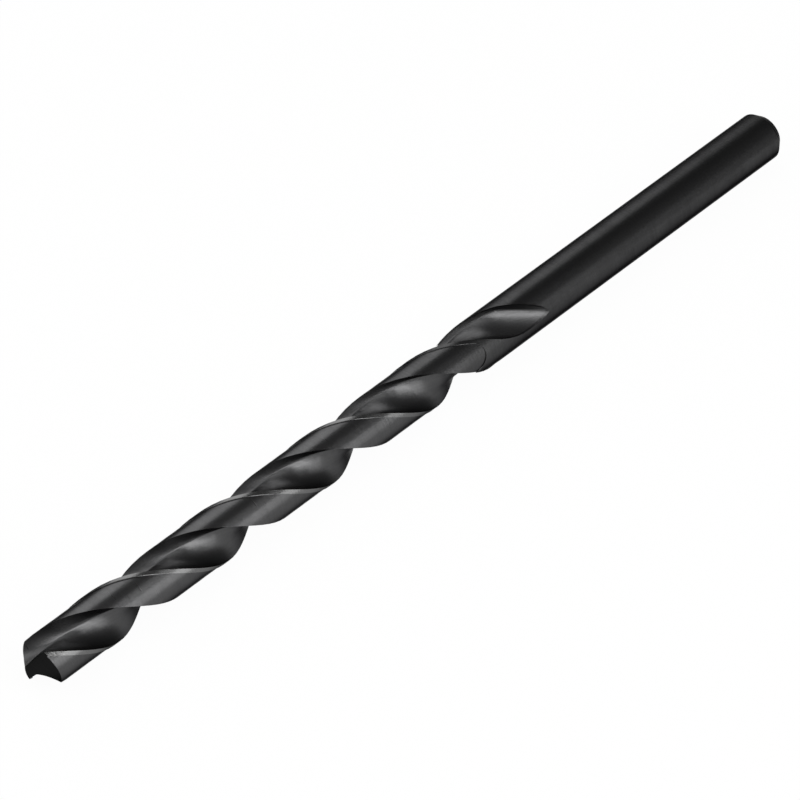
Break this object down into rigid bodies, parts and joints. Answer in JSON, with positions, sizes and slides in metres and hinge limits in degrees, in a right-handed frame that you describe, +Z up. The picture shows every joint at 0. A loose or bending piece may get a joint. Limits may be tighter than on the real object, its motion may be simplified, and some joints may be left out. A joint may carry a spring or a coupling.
{
  "type": "twist drill bit",
  "caption": "Straight-shank twist drill with right-hand helical flutes, narrow margins, a ground point and a black oxide finish.",
  "frame": {"origin": "centre of the flat face at the end of the shank", "axes": "+X along the drill's axis from the point towards the shank's end, +Z up as the drill lies on its side"},
  "size_m": [0.0851, 0.0044, 0.0044],
  "materials": {
    "tool_steel": "black oxide, satin"
  },
  "bodies": {
    "root": {"twist_drill": "tool_steel"}
  },
  "joints": []
}
